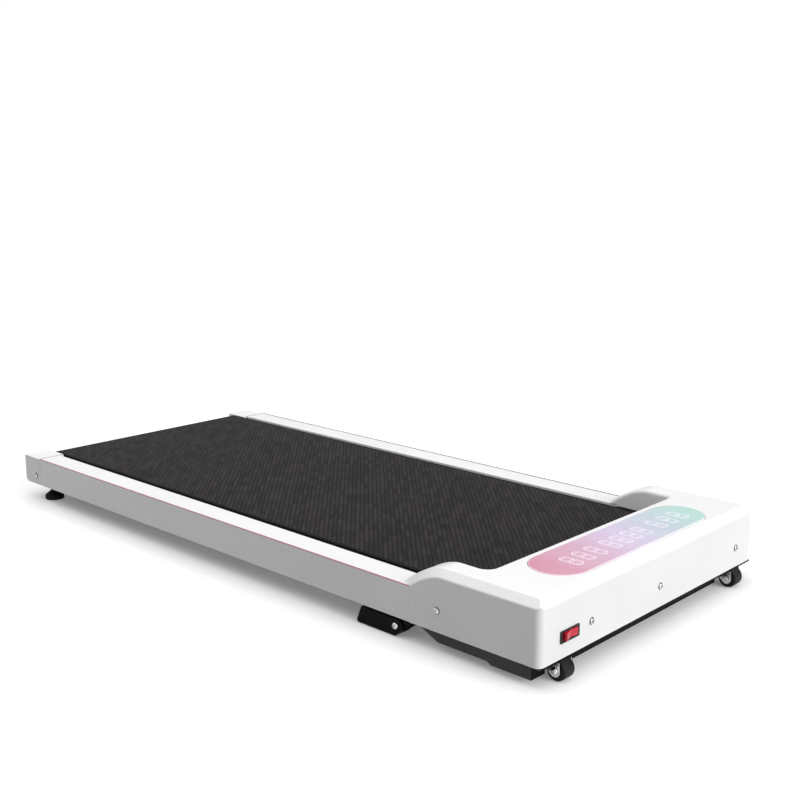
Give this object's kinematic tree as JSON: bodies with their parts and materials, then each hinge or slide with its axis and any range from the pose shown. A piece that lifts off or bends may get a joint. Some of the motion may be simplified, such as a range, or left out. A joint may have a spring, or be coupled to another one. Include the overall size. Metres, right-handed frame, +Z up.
{
  "type": "under-desk treadmill",
  "caption": "Flat under-desk walking pad: black belt between white side rails, low white motor cover with a tinted oblong display, front transport wheels, fold-down legs and rear feet.",
  "frame": {"origin": "on the floor under the centre of the whole machine's box", "axes": "+Z up; +Y from the motor end to the rear of the belt, so a walker on the belt faces -Y; +X is the right-hand side as seen from the motor end looking along +Y"},
  "size_m": [0.5044, 1.1284, 0.1086],
  "materials": {
    "white_plastic": "glossy white moulded plastic with a very fine texture",
    "black_plastic": "matt black moulded plastic",
    "red_plastic": "glossy translucent red",
    "display_lens": "smooth gloss lens tinted from pink through lavender to mint",
    "belt_rubber": "dull black with a fine diamond texture",
    "soft_rubber": "dull moulded black rubber",
    "caster_tyre": "black rubber with fine grooves round the tread",
    "bright_steel": "bright zinc plate",
    "frame_paint": "dark grey powder coat",
    "black_paint": "satin black paint",
    "motor_paint": "dark grey enamel",
    "deck_laminate": "fibreboard with a black laminate face",
    "circuit_board": "green solder mask",
    "heat_sink": "plain extruded aluminium"
  },
  "bodies": {
    "base": {"frame_rail_left": "frame_paint", "frame_rail_right": "frame_paint", "deck_crossmember_front": "frame_paint", "deck_crossmember_middle": "frame_paint", "deck_crossmember_rear": "frame_paint", "front_mounting_plate": "frame_paint", "running_deck": "deck_laminate", "deck_cushion_front_left": "soft_rubber", "deck_cushion_front_right": "soft_rubber", "deck_cushion_rear_left": "soft_rubber", "deck_cushion_rear_right": "soft_rubber", "running_belt": "belt_rubber", "front_roller_axle": "bright_steel", "rear_roller_axle": "bright_steel", "belt_adjuster_left": "bright_steel", "belt_adjuster_right": "bright_steel", "side_rail_left": "white_plastic", "side_rail_right": "white_plastic", "end_cap_left": "white_plastic", "end_cap_right": "white_plastic", "end_cap_screw_left": "bright_steel", "end_cap_screw_right": "bright_steel", "side_cover_screw_left": "bright_steel", "side_cover_screw_right": "bright_steel", "front_cover_screw_left": "bright_steel", "front_cover_screw_middle": "bright_steel", "front_cover_screw_right": "bright_steel", "motor_cover": "white_plastic", "display_lens": "display_lens", "display_lens_frame": "black_plastic", "display_board": "circuit_board", "belly_pan": "black_plastic", "drive_motor": "motor_paint", "motor_bracket": "frame_paint", "drive_belt": "soft_rubber", "control_board": "circuit_board", "control_heat_sink": "heat_sink", "switch_bezel": "black_plastic", "power_inlet": "black_plastic", "caster_fork_left": "bright_steel", "caster_fork_right": "bright_steel", "caster_axle_left": "bright_steel", "caster_axle_right": "bright_steel", "incline_bracket_left": "black_paint", "incline_bracket_right": "black_paint", "incline_bolt_left": "bright_steel", "incline_bolt_right": "bright_steel"},
    "front_roller": {"front_roller": "bright_steel", "roller_pulley": "black_plastic"},
    "rear_roller": {"rear_roller": "bright_steel"},
    "motor_rotor": {"motor_shaft": "bright_steel", "motor_pulley": "bright_steel", "motor_fan": "black_plastic"},
    "switch_rocker": {"switch_rocker": "red_plastic"},
    "caster_wheel_left": {"caster_wheel_left": "caster_tyre"},
    "caster_wheel_right": {"caster_wheel_right": "caster_tyre"},
    "incline_leg_left": {"incline_leg_left": "black_paint"},
    "incline_leg_right": {"incline_leg_right": "black_paint"},
    "rear_foot_left": {"rear_foot_left": "soft_rubber"},
    "rear_foot_right": {"rear_foot_right": "soft_rubber"}
  },
  "joints": [
    {"name": "front_roller_spin", "type": "hinge", "parent": "base", "child": "front_roller", "pos_m": [0, -0.466, 0.0531], "axis": [1, 0, 0], "continuous": true},
    {"name": "rear_roller_spin", "type": "hinge", "parent": "base", "child": "rear_roller", "pos_m": [0, 0.543, 0.0531], "axis": [1, 0, 0], "continuous": true},
    {"name": "motor_spin", "type": "hinge", "parent": "base", "child": "motor_rotor", "pos_m": [0, -0.5185, 0.063], "axis": [1, 0, 0], "continuous": true},
    {"name": "switch_press", "type": "hinge", "parent": "base", "child": "switch_rocker", "pos_m": [-0.194, -0.552, 0.0546], "axis": [0, 0, 1], "range_deg": [-14, 0]},
    {"name": "caster_wheel_spin_left", "type": "hinge", "parent": "base", "child": "caster_wheel_left", "pos_m": [-0.202, -0.5508, 0.0134], "axis": [1, 0, 0], "continuous": true},
    {"name": "caster_wheel_spin_right", "type": "hinge", "parent": "base", "child": "caster_wheel_right", "pos_m": [0.202, -0.5508, 0.0134], "axis": [1, 0, 0], "continuous": true},
    {"name": "incline_leg_fold_left", "type": "hinge", "parent": "base", "child": "incline_leg_left", "pos_m": [-0.2345, -0.3325, 0.0152], "axis": [-1, 0, 0], "range_deg": [0, 90]},
    {"name": "incline_leg_fold_right", "type": "hinge", "parent": "base", "child": "incline_leg_right", "pos_m": [0.2345, -0.3325, 0.0152], "axis": [-1, 0, 0], "range_deg": [0, 90]},
    {"name": "rear_foot_level_left", "type": "slide", "parent": "base", "child": "rear_foot_left", "axis": [0, 0, 1], "range_m": [-0.006, 0.004]},
    {"name": "rear_foot_level_right", "type": "slide", "parent": "base", "child": "rear_foot_right", "axis": [0, 0, 1], "range_m": [-0.006, 0.004]}
  ],
  "couplings": [
    {"joint": "rear_roller_spin", "follows": "front_roller_spin", "ratio": 1},
    {"joint": "motor_spin", "follows": "front_roller_spin", "ratio": 2.5}
  ]
}
